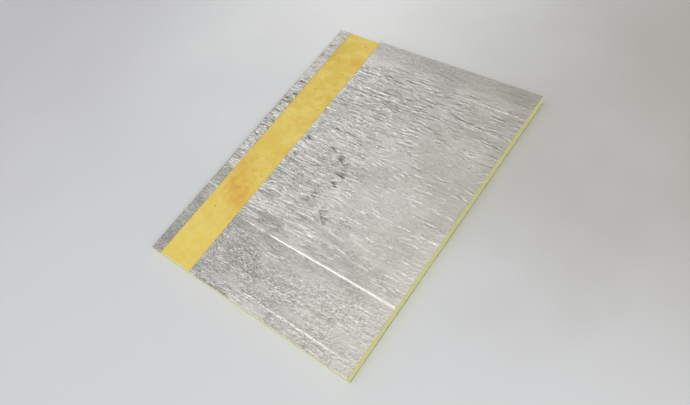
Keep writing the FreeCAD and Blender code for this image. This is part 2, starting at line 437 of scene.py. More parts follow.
def make_back_foil(material):
    """Foil under the board, folded up round its left edge and over as a lip."""
    section = fold_path(cells_lip=14, cells_bend=5, cells_edge=6, cells_back=34)
    rows, columns = BACK_ROWS, len(section)
    path = np.broadcast_to(section[:, 4], (rows, columns))
    v = np.broadcast_to(np.linspace(0.0, LENGTH, rows)[:, None], (rows, columns))
    base_x, base_z, normal_x, normal_z = (
        np.broadcast_to(section[:, i], (rows, columns)) for i in range(4)
    )
    from_end = np.minimum(v, LENGTH - v)
    on_back = smooth(path, 60 * MM, 75 * MM)
    on_lip = 1 - on_back
    relief = lip_relief(path, v) * on_lip
    bulge = 0.25 * MM * gradient_noise(path / (40 * MM), v / (45 * MM), 141) * on_lip
    under = -0.5 * MM * folds(path, v, 60 * MM, 16 * MM, 0.02, 151) * on_back
    calm_end = 0.2 + 0.8 * smooth(from_end, 0.0, 8 * MM)
    offset = (relief + bulge - 0.75 * MM * on_lip + under) * calm_end
    offset = np.clip(offset, -0.9 * MM, 0.6 * MM)
    offset = np.where(normal_z < -0.5, np.minimum(offset, 0.0), offset)

    # The lip's end is uneven and pressed down, and both ends are cut a little short
    tip = np.exp(-path / (1.5 * MM))
    x = base_x + normal_x * offset + 0.5 * MM * tip * gradient_noise(path * 0, v / (8 * MM), 161)
    z = base_z + normal_z * offset - 0.2 * MM * tip
    y = FAR_END - v
    end_trim = 0.4 * MM * np.exp(-from_end / (3 * MM))
    y = y - np.sign(y) * end_trim * (1 + gradient_noise(path / (8 * MM), v * 0, 171))

    outer = np.stack([x, y, z], -1)
    inner = outer - FOIL_THICKNESS * np.stack([normal_x, np.zeros_like(x), normal_z], -1)
    count = rows * columns
    rim = rim_indices(rows, columns)
    faces = grid_faces(rows, columns) + grid_faces(rows, columns, start=count, flip=True)
    for i, here in enumerate(rim):
        following = rim[(i + 1) % len(rim)]
        faces.append((following, here, here + count, following + count))
    vertices = np.vstack([outer.reshape(-1, 3), inner.reshape(-1, 3)])
    spread = np.stack([LIP_END - path, FAR_END - v, np.full_like(v, LIP_TOP)], -1)
    unfolded = np.vstack([spread.reshape(-1, 3), spread.reshape(-1, 3)])
    piece = add_piece("back_foil_folded", vertices, faces, material, unfolded)
    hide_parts("back_foil")
    return piece


WOOL_CELL = 1.5 * MM
LIP_COVER = 6 * MM
TORN, FINELY_TORN = 0.9 * MM, 0.25 * MM
TUCKED_IN = 0.9 * MM
PANEL_DEPTH, PANEL_INSET = 1.3 * MM, 3 * MM


def lattice(*stops):
    """Even steps of about one cell between each two stops, the stops included."""
    values = [stops[0]]
    for start, end in zip(stops, stops[1:]):
        count = max(1, round((end - start) / WOOL_CELL))
        values += list(np.linspace(start, end, count + 1)[1:])
    return np.array(values)


def wool_relief(points, seed):
    """Lumps and torn fibres of cut wool: noise of a few sizes at each point."""
    u = points[:, 0] + 0.37 * points[:, 2]
    v = points[:, 1] + 0.53 * points[:, 2]
    w = points[:, 2] * 1.7 + 0.11 * points[:, 0]
    lumps = gradient_noise(u / (16 * MM), (v + w) / (13 * MM), seed)
    tufts = gradient_noise((u + 1.3 * w) / (6 * MM), (v - w) / (5 * MM), seed + 1)
    crumbs = gradient_noise((u - v + w) / (2.6 * MM), (u + v) / (3.0 * MM), seed + 2)
    wave = points[:, 2] + 0.8 * MM * gradient_noise(u / (40 * MM), v / (40 * MM), seed + 3)
    layers = gradient_noise(wave / (3.2 * MM), (points[:, 0] + points[:, 1]) / (34 * MM), seed + 4)
    return 0.30 * lumps + 0.30 * tufts + 0.30 * crumbs + 0.55 * layers


def nearest(places, place):
    return int(np.argmin(abs(places - place)))


class WoolGrid:
    """The core's surface as cells of a lattice, with its points shared between the faces."""

    def __init__(self):
        under_lip = LIP_END - LIP_COVER
        self.xs = lattice(CORE_LOW.x, under_lip, WALL, RIGHT)
        self.ys = lattice(NEAR_END, FAR_END)
        self.zs = lattice(FOIL_THICKNESS, REBATE_FLOOR, WOOL_TOP)
        self.lip_i, self.wall_i = nearest(self.xs, under_lip), nearest(self.xs, WALL)
        self.floor_k = nearest(self.zs, REBATE_FLOOR)
        self.last_i, self.last_j, self.last_k = (len(v) - 1 for v in (self.xs, self.ys, self.zs))
        self.keys, self.faces = {}, []

    def point(self, i, j, k):
        return self.keys.setdefault((i, j, k), len(self.keys))

    def patch(self, spot, firsts, seconds, flip):
        """Cells over two runs of steps, of which spot makes a place in the lattice."""
        for a in firsts:
            for b in seconds:
                round_cell = ((a, b), (a + 1, b), (a + 1, b + 1), (a, b + 1))
                quad = [self.point(*spot(*pair)) for pair in round_cell]
                self.faces.append(tuple(quad[::-1] if flip else quad))

    def add_cut_faces(self):
        """The rebate's floor and wall, the plain edge and both ends."""
        along = range(self.last_j)
        over_floor = range(self.floor_k, self.last_k)
        self.patch(lambda i, j: (i, j, self.floor_k), range(self.lip_i, self.wall_i), along, False)
        self.patch(lambda j, k: (self.wall_i, j, k), along, over_floor, True)
        self.patch(lambda j, k: (self.last_i, j, k), along, range(self.last_k), False)
        for j, flip in ((0, False), (self.last_j, True)):
            self.patch(lambda i, k: (i, j, k), range(self.last_i), range(self.floor_k), flip)
            self.patch(lambda i, k: (i, j, k), range(self.wall_i, self.last_i), over_floor, flip)

    def border(self, i_start, k_start, i_end, k_end):
        """Points round a hidden face that spans the length, between two lines along the board."""
        step_i, step_k = np.sign(i_end - i_start), np.sign(k_end - k_start)
        count = abs(i_end - i_start) + abs(k_end - k_start)
        between = [(i_start + n * step_i, k_start + n * step_k) for n in range(1, count)]
        start = [(i_start, j, k_start) for j in range(self.last_j + 1)]
        far = [(i, self.last_j, k) for i, k in between]
        end = [(i_end, j, k_end) for j in range(self.last_j, -1, -1)]
        near = [(i, 0, k) for i, k in reversed(between)]
        return [self.point(*key) for key in start + far + end + near]

    def hidden_faces(self):
        """Border and way inwards of the top, of the faces under the lip and fold, and of the back."""
        spans = (
            ((self.last_i, self.last_k, self.wall_i, self.last_k), (0, 0, -2.2)),
            ((self.lip_i, self.floor_k, 0, self.floor_k), (0, 0, -1)),
            ((0, self.floor_k, 0, 0), (1, 0, 0)),
            ((0, 0, self.last_i, 0), (0, 0, 1)),
        )
        return [(self.border(*ends), np.array(inward, float)) for ends, inward in spans]

    def torn_points(self):
        """The points: torn on the cut faces, rounded and set back under the foils."""
        i, j, k = np.array(list(self.keys)).T
        points = np.column_stack([self.xs[i], self.ys[j], self.zs[k]])
        depth = np.abs(wool_relief(points, 201)) * TORN + wool_relief(points, 211) * FINELY_TORN
        covered = (i == 0) | (k == 0) | ((k == self.floor_k) & (i <= self.lip_i))
        outward = np.column_stack([-1.0 * (i == 0), 1.0 * (k == self.floor_k) - 1.0 * (k == 0)])
        fold_x, radius = LEFT + FOLD_RADIUS, FOLD_RADIUS - FOIL_THICKNESS
        for centre_z, upper in ((REBATE_FLOOR - radius, True), (FOIL_THICKNESS + radius, False)):
            dx, dz = points[:, 0] - fold_x, points[:, 2] - centre_z
            corner = (dx < 0) & ((dz > 0) if upper else (dz < 0))
            reach = np.hypot(dx, dz) + 1e-9
            shrink = np.maximum(abs(dx), abs(dz)) / reach
            points[corner, 0] = fold_x + (dx * shrink)[corner]
            points[corner, 2] = centre_z + (dz * shrink)[corner]
            outward[corner] = np.column_stack([dx / reach, dz / reach])[corner]
        end_gap = np.minimum(points[:, 1] - NEAR_END, FAR_END - points[:, 1])
        sunk = covered * (0.25 * MM + 1.05 * MM * smooth(end_gap, 0.0, 8 * MM))
        on_floor = (k == self.floor_k) & (i < self.wall_i)
        on_wall = (i == self.wall_i) & (k > self.floor_k)
        push = np.zeros_like(points)
        push[:, 1] += np.where(j == 0, 1.0, 0.0) - np.where(j == self.last_j, 1.0, 0.0)
        push[:, 0] -= np.where(i == self.last_i, 1.0, 0.0)
        push[on_wall, 0] += 1.0
        moved = points + push * (0.15 * MM + np.clip(depth, 0.0, None))[:, None]
        moved[:, [0, 2]] -= outward * sunk[:, None]
        moved[on_floor, 2] -= np.clip(depth[on_floor] * 0.6, 0, None)
        moved[k == self.last_k, 2] -= TUCKED_IN
        moved[on_floor & (i > self.lip_i), 2] -= TUCKED_IN
        return moved


def add_panel(points, faces, ring, inward):
    """Close a hidden face with one plain panel, set back from its border."""
    edge = points[ring]
    low, high = edge.min(0) + PANEL_INSET, edge.max(0) - PANEL_INSET
    set_back = edge.mean(0) + inward * PANEL_DEPTH
    panel = np.where(low < high, np.clip(edge, low, high) + inward * PANEL_DEPTH, set_back)
    panel = np.where(np.abs(inward) > 0, set_back, panel)
    inner = list(range(len(points), len(points) + len(ring)))
    for n, here in enumerate(ring):
        following = (n + 1) % len(ring)
        faces.append((here, ring[following], inner[following], inner[n]))
    faces.append(tuple(inner))
    return np.vstack([points, panel])


def make_wool(material):
    """The wool core: cut faces finely torn, faces under the foils left plain and set back."""
    grid = WoolGrid()
    grid.add_cut_faces()
    hidden = grid.hidden_faces()
    points = grid.torn_points()
    for ring, inward in hidden:
        points = add_panel(points, grid.faces, ring, inward)
    piece = add_piece("glass_wool_cut", points, grid.faces, material)
    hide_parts("glass_wool_core")
    return piece


# Node trees


class Nodes:
    """Short calls for building one node tree."""

    def __init__(self, tree):
        self.tree = tree
        self.places = None

    def follow(self, attribute):
        """Let the patterns follow a mesh attribute instead of the object's own coordinates."""
        self.places = self.add("ShaderNodeAttribute", attribute_name=attribute).outputs["Vector"]

    def add(self, kind, inputs=(), **settings):
        """A new node with its settings made and its inputs fed."""
        node = self.tree.nodes.new(kind)
        for name, value in settings.items():
            setattr(node, name, value)
        return self.feed(node, inputs)

    def feed(self, node, inputs):
        """Link a socket to each named or numbered input, or write a plain value into it."""
        for name, value in dict(inputs).items():
            if isinstance(value, bpy.types.NodeSocket):
                self.tree.links.new(value, node.inputs[name])
            else:
                node.inputs[name].default_value = value
        return node

    def coordinates(self, scale, turn=0.0):
        """Places in metres, turned in degrees about Z and scaled."""
        places = self.places or self.add("ShaderNodeTexCoord").outputs["Object"]
        given = {"Vector": places, "Rotation": (0.0, 0.0, math.radians(turn)), "Scale": scale}
        return self.add("ShaderNodeMapping", given).outputs["Vector"]

    def noise(self, vector, scale, detail=2.0, roughness=0.5, distortion=0.0):
        given = dict(Vector=vector, Scale=scale, Detail=detail, Roughness=roughness)
        return self.add("ShaderNodeTexNoise", dict(given, Distortion=distortion)).outputs["Fac"]

    def drawn_out(self, scale, turn=0.0, detail=2.0, roughness=0.5, distortion=0.0):
        """Noise with a scale of its own in each direction, turned in degrees about Z."""
        return self.noise(self.coordinates(scale, turn), 1.0, detail, roughness, distortion)

    def folds(self, scale, turn, distortion):
        """Sharp-edged folds: the distance of a drawn-out noise from its middle value."""
        waves = self.drawn_out(scale, turn, 2.0, 0.45, distortion)
        return self.math("ABSOLUTE", self.minus(waves, 0.5), 0.0)

    def ramp(self, value, low, high, out_low=0.0, out_high=1.0):
        """Eased way from one amount to another while a value goes from low to high."""
        names = ("Value", "From Min", "From Max", "To Min", "To Max")
        given = zip(names, (value, low, high, out_low, out_high))
        node = self.add("ShaderNodeMapRange", given, interpolation_type="SMOOTHSTEP")
        return node.outputs["Result"]

    def split(self, vector):
        """The three coordinates of a vector."""
        return list(self.add("ShaderNodeSeparateXYZ", {"Vector": vector}).outputs)

    def between(self, operation, first, second):
        """One number from two vectors: their DISTANCE or their DOT_PRODUCT."""
        node = self.add("ShaderNodeVectorMath", {0: first, 1: second}, operation=operation)
        return node.outputs["Value"]

    def mix(self, amount, first, second):
        """Blend of two colours."""
        given = {0: amount, 6: first, 7: second}
        return self.add("ShaderNodeMix", given, data_type="RGBA").outputs[2]

    def layered(self, colour, layers):
        """A colour with others laid over it one by one, each by an amount."""
        for amount, other in layers:
            colour = self.mix(amount, colour, other)
        return colour

    def math(self, operation, first, second):
        return self.add("ShaderNodeMath", {0: first, 1: second}, operation=operation).outputs[0]

    def times(self, first, second):
        return self.math("MULTIPLY", first, second)

    def plus(self, first, second):
        return self.math("ADD", first, second)

    def minus(self, first, second):
        return self.math("SUBTRACT", first, second)

    def bumps(self, *layers):
        """Normal of bumps laid over one another: the height, depth and strength of each."""
        below = {}
        for height, depth, strength in layers:
            given = dict(below, Height=height, Distance=depth, Strength=strength)
            normal = self.add("ShaderNodeBump", given).outputs["Normal"]
            below = {"Normal": normal}
        return normal


# Loose fibres on the cut wool

# Named inputs of the scatter
FIBRES = {
    "Fibres per square metre": 36000.0,
    "Fibre length": 6.0 * MM,
    "Fibre radius": 0.08 * MM,
    "Bow": 0.9 * MM,
    "Lowest tip": 0.4 * MM,
    "Highest tip": WOOL_TOP,
    "Reach of tips": FAR_END + 1.2 * MM,
    "Seed": 7,
}
# Four corners of each bare face of wool, counter-clockwise from outside: across, along, and
# whether it is the lower or the upper one
CUT_FACES = [
    [(LIP_END, NEAR_END, 0), (WALL, NEAR_END, 0), (WALL, FAR_END, 0), (LIP_END, FAR_END, 0)],
    [(RIGHT, NEAR_END, 0), (RIGHT, FAR_END, 0), (RIGHT, FAR_END, 1), (RIGHT, NEAR_END, 1)],
    [(LEFT, NEAR_END, 0), (RIGHT, NEAR_END, 0), (RIGHT, NEAR_END, 1), (LEFT, NEAR_END, 1)],
    [(RIGHT, FAR_END, 0), (LEFT, FAR_END, 0), (LEFT, FAR_END, 1), (RIGHT, FAR_END, 1)],
]


def fibre_bed():
    """Plain quads a little inside the bare faces, for the fibres to lie on."""
    margin, inside = 1.5 * MM, 0.5 * MM
    floor = REBATE_FLOOR - 1.3 * MM
    vertices = []
    for number, face in enumerate(CUT_FACES):
        for x, y, top in face:
            if number == 0:
                vertices.append((x, y, floor))
                continue
            height = LIP_TOP if number > 1 else WOOL_TOP
            z = height - margin if top else margin
            inner_x = x + (inside if x < 0 else -inside)
            inner_y = y + (inside if y < 0 else -inside)
            vertices.append((inner_x, inner_y, z))
    faces = [tuple(range(4 * n, 4 * n + 4)) for n in range(len(CUT_FACES))]
    mesh = bpy.data.meshes.new("fibre_bed")
    mesh.from_pydata(vertices, [], faces)
    return add_object("fibre_bed", mesh)


def fibre_tree(material):
    """Node tree that scatters short bowed fibres, each a thin three-sided tube, over a mesh."""
    tree = bpy.data.node_groups.new("scattered_fibres", "GeometryNodeTree")
    tree.interface.new_socket("Geometry", in_out="INPUT", socket_type="NodeSocketGeometry")
    for name, value in FIBRES.items():
        kind = "NodeSocketInt" if isinstance(value, int) else "NodeSocketFloat"
        tree.interface.new_socket(name, in_out="INPUT", socket_type=kind)
    tree.interface.new_socket("Geometry", in_out="OUTPUT", socket_type="NodeSocketGeometry")
    nodes = Nodes(tree)
    given = nodes.add("NodeGroupInput").outputs
    length, bow, seed = (given[name] for name in ("Fibre length", "Bow", "Seed"))
    scatter = nodes.add(
        "GeometryNodeDistributePointsOnFaces",
        {"Mesh": given["Geometry"], "Density": given["Fibres per square metre"], "Seed": seed},
        distribute_method="RANDOM",
    ).outputs

    # One fibre: a three-sided tube along a bowed line
    tip = nodes.add("ShaderNodeCombineXYZ", {"X": length}).outputs["Vector"]
    middle = nodes.add("ShaderNodeCombineXYZ", {"X": nodes.times(length, 0.5), "Y": bow, "Z": bow})
    spine = nodes.add(
        "GeometryNodeCurveQuadraticBezier",
        {"Resolution": 3, "Start": (0.0, 0.0, 0.0), "Middle": middle.outputs["Vector"], "End": tip},
    ).outputs["Curve"]
    ring = nodes.add(
        "GeometryNodeCurvePrimitiveCircle",
        {"Resolution": 3, "Radius": given["Fibre radius"]},
        mode="RADIUS",
    ).outputs["Curve"]
    tube = nodes.add(
        "GeometryNodeCurveToMesh", {"Curve": spine, "Profile Curve": ring, "Fill Caps": True}
    ).outputs["Mesh"]

    # Each fibre gets its own turn and size, and one whose tip would leave the board is dropped
    turn = nodes.add(
        "FunctionNodeRandomValue",
        {"Min": (-0.25, -0.30, -math.pi), "Max": (0.25, 0.10, math.pi), "Seed": seed},
        data_type="FLOAT_VECTOR",
    ).outputs["Value"]
    lay = nodes.add(
        "FunctionNodeRotateRotation",
        {"Rotation": scatter["Rotation"], "Rotate By": turn},
        rotation_space="LOCAL",
    ).outputs["Rotation"]
    grow = nodes.add(
        "FunctionNodeRandomValue", {"Min": 0.35, "Max": 1.0, "Seed": seed}, data_type="FLOAT"
    ).outputs[1]
    aim = nodes.add("FunctionNodeRotateVector", {"Vector": tip, "Rotation": lay}).outputs["Vector"]
    here = nodes.add("GeometryNodeInputPosition").outputs["Position"]
    end = nodes.add("ShaderNodeVectorMath", {0: aim, 1: grow, 2: here}, operation="MULTIPLY_ADD")
    _, end_y, end_z = nodes.split(end.outputs["Vector"])
    low = nodes.math("LESS_THAN", end_z, given["Lowest tip"])
    high = nodes.math("GREATER_THAN", end_z, given["Highest tip"])
    reach = nodes.math("ABSOLUTE", end_y, 0.0)
    past = nodes.math("GREATER_THAN", reach, given["Reach of tips"])
    outside = nodes.math("MAXIMUM", nodes.math("MAXIMUM", low, high), past)
    kept = nodes.add(
        "GeometryNodeDeleteGeometry",
        {"Geometry": scatter["Points"], "Selection": outside},
        domain="POINT",
    ).outputs["Geometry"]
    laid = nodes.add(
        "GeometryNodeInstanceOnPoints",
        {"Points": kept, "Instance": tube, "Rotation": lay, "Scale": grow},
    ).outputs["Instances"]
    real = nodes.add("GeometryNodeRealizeInstances", {"Geometry": laid}).outputs["Geometry"]
    finish = nodes.add("GeometryNodeSetMaterial", {"Geometry": real, "Material": material})
    nodes.add("NodeGroupOutput", {"Geometry": finish.outputs["Geometry"]})
    return tree


def make_fibres(material):
    """Short loose glass fibres on the bare faces of the wool."""
    bed = fibre_bed()
    scatter = bed.modifiers.new("scattered_fibres", "NODES")
    scatter.node_group = fibre_tree(material)
    for socket in scatter.node_group.interface.items_tree:
        if socket.in_out == "INPUT" and socket.name in FIBRES:
            scatter[socket.identifier] = FIBRES[socket.name]
    evaluated = bed.evaluated_get(bpy.context.evaluated_depsgraph_get())
    mesh = bpy.data.meshes.new_from_object(evaluated)
    bed.modifiers.remove(scatter)
    bpy.data.objects.remove(bed)
    mesh.name = "wool_fibres"
    mesh.materials.clear()
    mesh.materials.append(material)
    piece = add_object("wool_fibres", mesh)
    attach(piece, "root")
    return piece


# Materials


def linear(red, green, blue):
    """A colour given as it looks on screen, 0 to 255, for a shader."""
    values = []
    for channel in (red, green, blue):
        c = channel / 255
        values.append(c / 12.92 if c <= 0.04045 else ((c + 0.055) / 1.055) ** 2.4)
    return (*values, 1.0)


def new_material(name):
    material = bpy.data.materials.new(name)
    material.use_nodes = True
    nodes = Nodes(material.node_tree)
    shader = material.node_tree.nodes["Principled BSDF"]
    return material, nodes, shader


# Each foil's look, with its painted shade and painted highlights. Lines are at their distance from the
# far end.
# crinkled: where the wrinkles are strongest; shade: how much painted shade darkens their valleys;
# spotted: share of that in the pressed spots; then the darker stretch: how much darker it turns, from a
# line and over a distance that counts towards the far end;
# last, the painted highlights on straight creases: level, start and end across in millimetres, and how
# broken
FACE_LOOK = dict(
    bright=linear(235, 234, 231),
    dull=linear(210, 209, 205),
    roughness=0.24,
    crinkled=(80 * MM, 500 * MM),
    shade=0.26,
    spotted=0.4,
    darkening=0.35,
    darkening_from=55 * MM,
    darkening_over=15 * MM,
    highlighted_creases=[
        (146, 430, 600, 0.9),
        (78, 440, 590, 1.0),
        (148, 170, 320, 0.8),
        (605, 150, 600, 0.1),
        (446, 400, 600, 0.7),
        (558, 150, 420, 0.9),
    ],
)
BACK_LOOK = dict(
    bright=linear(231, 230, 224),
    dull=linear(208, 205, 197),
    roughness=0.24,
    crinkled=(170 * MM, 420 * MM),
    shade=0.75,
    spotted=0.0,
    darkening=0.05,
    darkening_from=430 * MM,
    darkening_over=-90 * MM,
    highlighted_creases=[(566, -25, 45, 0.0)],
)
# Colour of the painted highlights on the foil's crests and straight creases
PAINTED_HIGHLIGHT = linear(255, 255, 252)
CREST_SPACING = 10 * MM
CREST_START, CREST_CLIMB, CREST_FALL = 0.13, 1.33, 8.3


def foil_crests(nodes, across, along, far, near):
    """Height of thin wavy ridges across the board, and their strength between two lines."""
    drift = nodes.drawn_out((9, 24, 20))
    waver = nodes.drawn_out((48, 80, 60))
    shift = nodes.plus(nodes.times(drift, 5.0), nodes.times(waver, 0.9))
    part = nodes.math("FRACT", nodes.minus(shift, nodes.times(along, 1 / CREST_SPACING)), 0.0)
    climb = nodes.times(nodes.minus(part, CREST_START), CREST_CLIMB)
    fall = nodes.times(nodes.minus(1.0, part), CREST_FALL)
    height = nodes.math("MAXIMUM", nodes.math("MINIMUM", climb, fall), 0.0)
    spread = nodes.minus(nodes.drawn_out((18, 55, 40)), nodes.ramp(across, -0.05, 0.20, 0.0, 0.10))
    off_fold = nodes.ramp(across, LEFT + 3 * MM, LEFT + 11 * MM)
    patches = nodes.times(nodes.ramp(spread, 0.42, 0.50), off_fold)
    begun = nodes.ramp(along, far + 10 * MM, far - 10 * MM, 0.08, 1.0)
    ended = nodes.ramp(along, near - 20 * MM, near + 60 * MM, 0.25, 1.0)
    return height, nodes.times(patches, nodes.times(begun, ended))


def painted_crease_highlight(nodes, across, along, patchy, level, start, end, broken):
    """Strength of the painted highlight along a straight crease, with gaps where it is broken."""
    off = nodes.math("ABSOLUTE", nodes.minus(along, FAR_END - level * MM), 0.0)
    begun = nodes.ramp(across, LEFT + start * MM, LEFT + (start + 30) * MM)
    ended = nodes.ramp(across, LEFT + (end + 10) * MM, LEFT + (end - 10) * MM)
    line = nodes.times(nodes.ramp(off, 2.2 * MM, 1.0 * MM), nodes.times(begun, ended))
    kept = nodes.math("MAXIMUM", patchy, 1.0 - broken)
    return nodes.times(line, nodes.times(kept, 0.8))


def foil_material(
    name, bright, dull, roughness, crinkled, shade, spotted, darkening, darkening_from, darkening_over, highlighted_creases
):
    """Crinkled aluminium foil: painted shade in its valleys, flecks and dents, painted highlights on
    its crests and creases, fine wrinkles and cloudy patches.
    """
    material, nodes, shader = new_material(name)
    nodes.follow("unfolded")
    plain = nodes.coordinates((1, 1, 1))
    across, along, _ = nodes.split(plain)
    far, near = FAR_END - crinkled[0], FAR_END - crinkled[1]
    left_side = nodes.ramp(across, 0.10, -0.06, 0.2, 1.0)
    begun = nodes.ramp(along, far + 20 * MM, far - 20 * MM)
    ended = nodes.ramp(along, near - 30 * MM, near + 30 * MM)
    strong = nodes.times(left_side, nodes.times(begun, ended))
    pressed = nodes.ramp(along, FAR_END - 618 * MM, FAR_END - 640 * MM, 0.0, spotted)

    streaks = nodes.folds((11, 74, 60), 2, 0.9)
    flakes = nodes.folds((70, 150, 90), -28, 0.5)
    # Painted shade in the valleys of the streaks, where the wrinkles are strongest, and of the flecks,
    # in the pressed spots
    line_shade = nodes.plus(nodes.times(strong, shade), 0.20 * shade)
    fleck_shade = nodes.plus(nodes.times(pressed, shade), 0.22 * shade)
    broad = nodes.noise(plain, 9.0, 3.0, 0.55)
    cloudy = nodes.drawn_out((14, 40, 20), 0, 4.0, 0.6)
    # Random patches that break the painted crease highlights and vary the painted shade in the dents
    patchy = nodes.ramp(nodes.noise(plain, 75.0, 2.0, 0.5), 0.44, 0.56)
    dented = nodes.add("ShaderNodeAttribute", attribute_name="dented").outputs["Fac"]
    # Painted shade in the dents, darker where they are deeper
    dent_shade = nodes.times(nodes.ramp(dented, 0.30, 0.95, 0.0, 0.55), nodes.ramp(patchy, 0, 1, 1, 0.65))
    crests, crest_strength = foil_crests(nodes, across, along, far, near - 100 * MM)
    # Painted highlight along the tops of the crests
    crest_highlight = nodes.times(nodes.ramp(crests, 0.55, 0.90), crest_strength)

    # A darker stretch, painted shade in the valleys, flecks and dents, then painted highlights on the
    # crests and straight creases
    tone = nodes.plus(nodes.ramp(broad, 0.35, 0.65, 0.0, 0.6), nodes.ramp(cloudy, 0.3, 0.7, 0.0, 0.4))
    # Darker colour from a line, over a distance towards the far end
    darkened = nodes.ramp(along, FAR_END - darkening_from, FAR_END - darkening_from + darkening_over, 0.0, darkening)
    layers = [
        (darkened, linear(176, 175, 171)),
        (nodes.times(nodes.ramp(streaks, 0.045, 0.0), line_shade), linear(120, 120, 119)),
        (nodes.times(nodes.ramp(flakes, 0.05, 0.0), fleck_shade), linear(130, 130, 129)),
        (dent_shade, linear(116, 116, 114)),
        (nodes.times(crest_highlight, 0.75), PAINTED_HIGHLIGHT),
    ]
    for crease in highlighted_creases:
        layers.append((painted_crease_highlight(nodes, across, along, patchy, *crease), PAINTED_HIGHLIGHT))

    grain = nodes.drawn_out((900, 900, 900), 0, 2.0, 0.6)
    crackle = nodes.folds((105, 250, 150), 14, 0.7)
    surface = {
        "Metallic": 1.0,
        "Base Color": nodes.layered(nodes.mix(tone, dull, bright), layers),
        "Roughness": nodes.ramp(cloudy, 0.3, 0.75, roughness - 0.05, roughness + 0.09),
        "Normal": nodes.bumps(
            (streaks, 2.5 * MM, nodes.ramp(nodes.plus(strong, pressed), 0.0, 0.7, 0.22, 0.75)),
            (flakes, 1.7 * MM, nodes.ramp(pressed, 0.0, 0.4, 0.30, 0.85)),
            (crackle, 1.0 * MM, 0.65),
            (crests, 0.52 * MM, crest_strength),
            (grain, 0.04 * MM, 0.3),
        ),
    }
    nodes.feed(shader, surface)
    return material


# Brownish marks of resin on the bare wool: place from the left side and from the far end and
# radius in millimetres, and strength
RESIN_MARKS = [(84, 548, 48, 0.50), (60, 500, 62, 0.34), (118, 575, 50, 0.34), (114, 88, 30, 0.40)]


def on_cut_faces(nodes, across, along, edge_amount, end_amount):
    """Masks of the plain edge's cut face and of the two cut ends."""
    by_edge = nodes.ramp(across, RIGHT - 4 * MM, RIGHT - 2 * MM, 0.0, edge_amount)
    from_middle = nodes.math("ABSOLUTE", along, 0.0)
    by_end = nodes.ramp(from_middle, FAR_END - 3 * MM, FAR_END - 1.5 * MM, 0.0, end_amount)
    return by_edge, by_end


def resin_layers(nodes, plain):
    """Amount and colour of each brownish mark, with ragged outlines."""
    ragged = nodes.noise(plain, 60.0, 4.0, 0.6, 0.3)
    layers = []
    for from_left, from_far, across, strength in RESIN_MARKS:
        place = (LEFT + from_left * MM, FAR_END - from_far * MM, LIP_TOP)
        radius = across * MM
        uneven = nodes.ramp(ragged, 0.3, 0.7, 0.24 * radius, -0.24 * radius)
        off = nodes.plus(nodes.between("DISTANCE", plain, place), uneven)
        layers.append((nodes.ramp(off, 0.0, radius, strength, 0.0), linear(224, 150, 52)))
    return layers


def wool_material():
    """Bonded yellow glass wool: fibre streaks, resin blotches and small brown specks."""
    material, nodes, shader = new_material("glass_wool_yellow")
    plain = nodes.coordinates((1, 1, 1))
    across, along, _ = nodes.split(plain)
    broad = nodes.noise(plain, 7.0, 3.0, 0.5)
    blotch = nodes.noise(plain, 16.0, 3.0, 0.55, 0.4)
    cloud = nodes.drawn_out((26, 44, 30), 30, 4.0, 0.6, 0.5)
    streak = nodes.drawn_out((90, 420, 300), 48, 4.0, 0.65, 0.8)
    cross = nodes.drawn_out((110, 380, 260), -25, 3.0, 0.6, 0.8)
    fibre = nodes.times(nodes.plus(streak, cross), 0.5)
    speck = nodes.add("ShaderNodeTexVoronoi", {"Scale": 60.0, "Vector": plain}).outputs["Distance"]
    rare = nodes.ramp(nodes.noise(plain, 23.0, 1.0), 0.56, 0.64)
    specks = nodes.times(nodes.times(nodes.ramp(speck, 0.16, 0.06), rare), 0.75)
    cut_edge, cut_end = on_cut_faces(nodes, across, along, 0.95, 0.85)
    strata = nodes.drawn_out((30, 30, 520), 0, 3.0, 0.6, 0.3)
    cut_layers = nodes.times(nodes.math("MAXIMUM", cut_edge, cut_end), nodes.ramp(strata, 0.50, 0.66))

    # Deeper yellow at the far end, with pale and orange clouds, marks and specks, and paler on
    # the cut faces, partly the cut fibres' own colour and partly painted light; these faces show the
    # wool's layers
    nearness = nodes.ramp(along, FAR_END, NEAR_END)
    colour = nodes.mix(nearness, linear(225, 193, 85), linear(245, 219, 110))
    layers = [
        (nodes.ramp(broad, 0.35, 0.65, 0.0, 0.7), linear(240, 215, 115)),
        (nodes.ramp(blotch, 0.50, 0.72, 0.0, 0.40), linear(230, 184, 78)),
        (nodes.ramp(cloud, 0.44, 0.62, 0.0, 0.45), linear(248, 230, 142)),
        (nodes.ramp(fibre, 0.44, 0.60, 0.0, 0.30), linear(238, 220, 138)),
        *resin_layers(nodes, plain),
        (specks, linear(148, 98, 40)),
        (cut_end, linear(236, 238, 192)),
        (cut_edge, linear(224, 226, 162)),
        (nodes.times(cut_layers, 0.22), linear(206, 190, 110)),
    ]

    hairs = nodes.drawn_out((260, 1700, 900), 48, 2.0, 0.6, 0.6)
    crossing = nodes.drawn_out((300, 1500, 1000), -25, 2.0, 0.6, 0.6)
    surface = {
        "Base Color": nodes.layered(colour, layers),
        "Roughness": 0.92,
        "Specular IOR Level": 0.25,
        "Normal": nodes.bumps(
            (fibre, 1.2 * MM, 0.6),
            (nodes.noise(plain, 240.0, 3.0, 0.6), 0.8 * MM, 0.5),
            (nodes.drawn_out((45, 45, 800), 0, 3.0, 0.6, 0.3), 0.6 * MM, 0.6),
            (nodes.plus(hairs, crossing), 0.5 * MM, 0.7),
        ),
    }
    nodes.feed(shader, surface)
    return material


